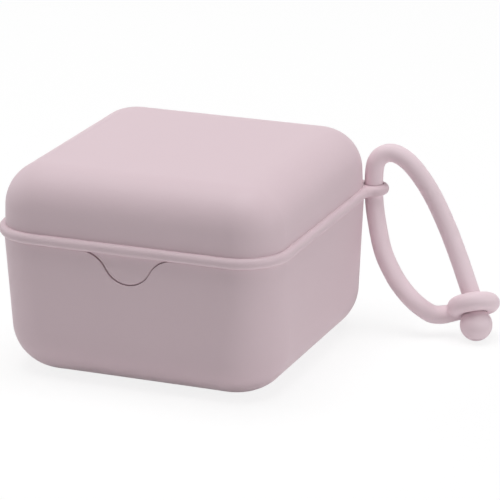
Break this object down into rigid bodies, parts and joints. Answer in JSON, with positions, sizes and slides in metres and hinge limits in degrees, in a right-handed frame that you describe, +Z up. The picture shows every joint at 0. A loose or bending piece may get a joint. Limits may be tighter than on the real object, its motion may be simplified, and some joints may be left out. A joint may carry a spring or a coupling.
{
  "type": "pacifier case",
  "caption": "Rounded square pacifier case: open tub, domed hinged lid with a bead, front tongue and corner lug, and a strap closed by a ball in an eyelet.",
  "frame": {"origin": "middle of the tub's foot, on the surface that the case stands on", "axes": "+Z up, -Y towards the front with the tongue, +Y towards the hinge, +X towards the lug and the strap"},
  "size_m": [0.1265, 0.0934, 0.061],
  "materials": {
    "shell": "matte moulded polypropylene, pale dusty pink",
    "strap": "soft matte silicone, the same pale pink"
  },
  "bodies": {
    "base": {"base_tub": "shell", "hinge_pin": "shell"},
    "lid": {"lid": "shell"},
    "strap": {"strap_cord": "strap", "strap_eyelet": "strap", "strap_ball": "strap"}
  },
  "joints": [
    {"name": "lid_hinge", "type": "hinge", "parent": "base", "child": "lid", "pos_m": [0, 0.0469, 0.0405], "axis": [-1, 0, 0], "range_deg": [0, 180]},
    {"name": "strap_swing", "type": "hinge", "parent": "lid", "child": "strap", "pos_m": [0.04368, 0.03699, 0.0405], "axis": [0, 0, 1], "range_deg": [-10, 60]}
  ]
}
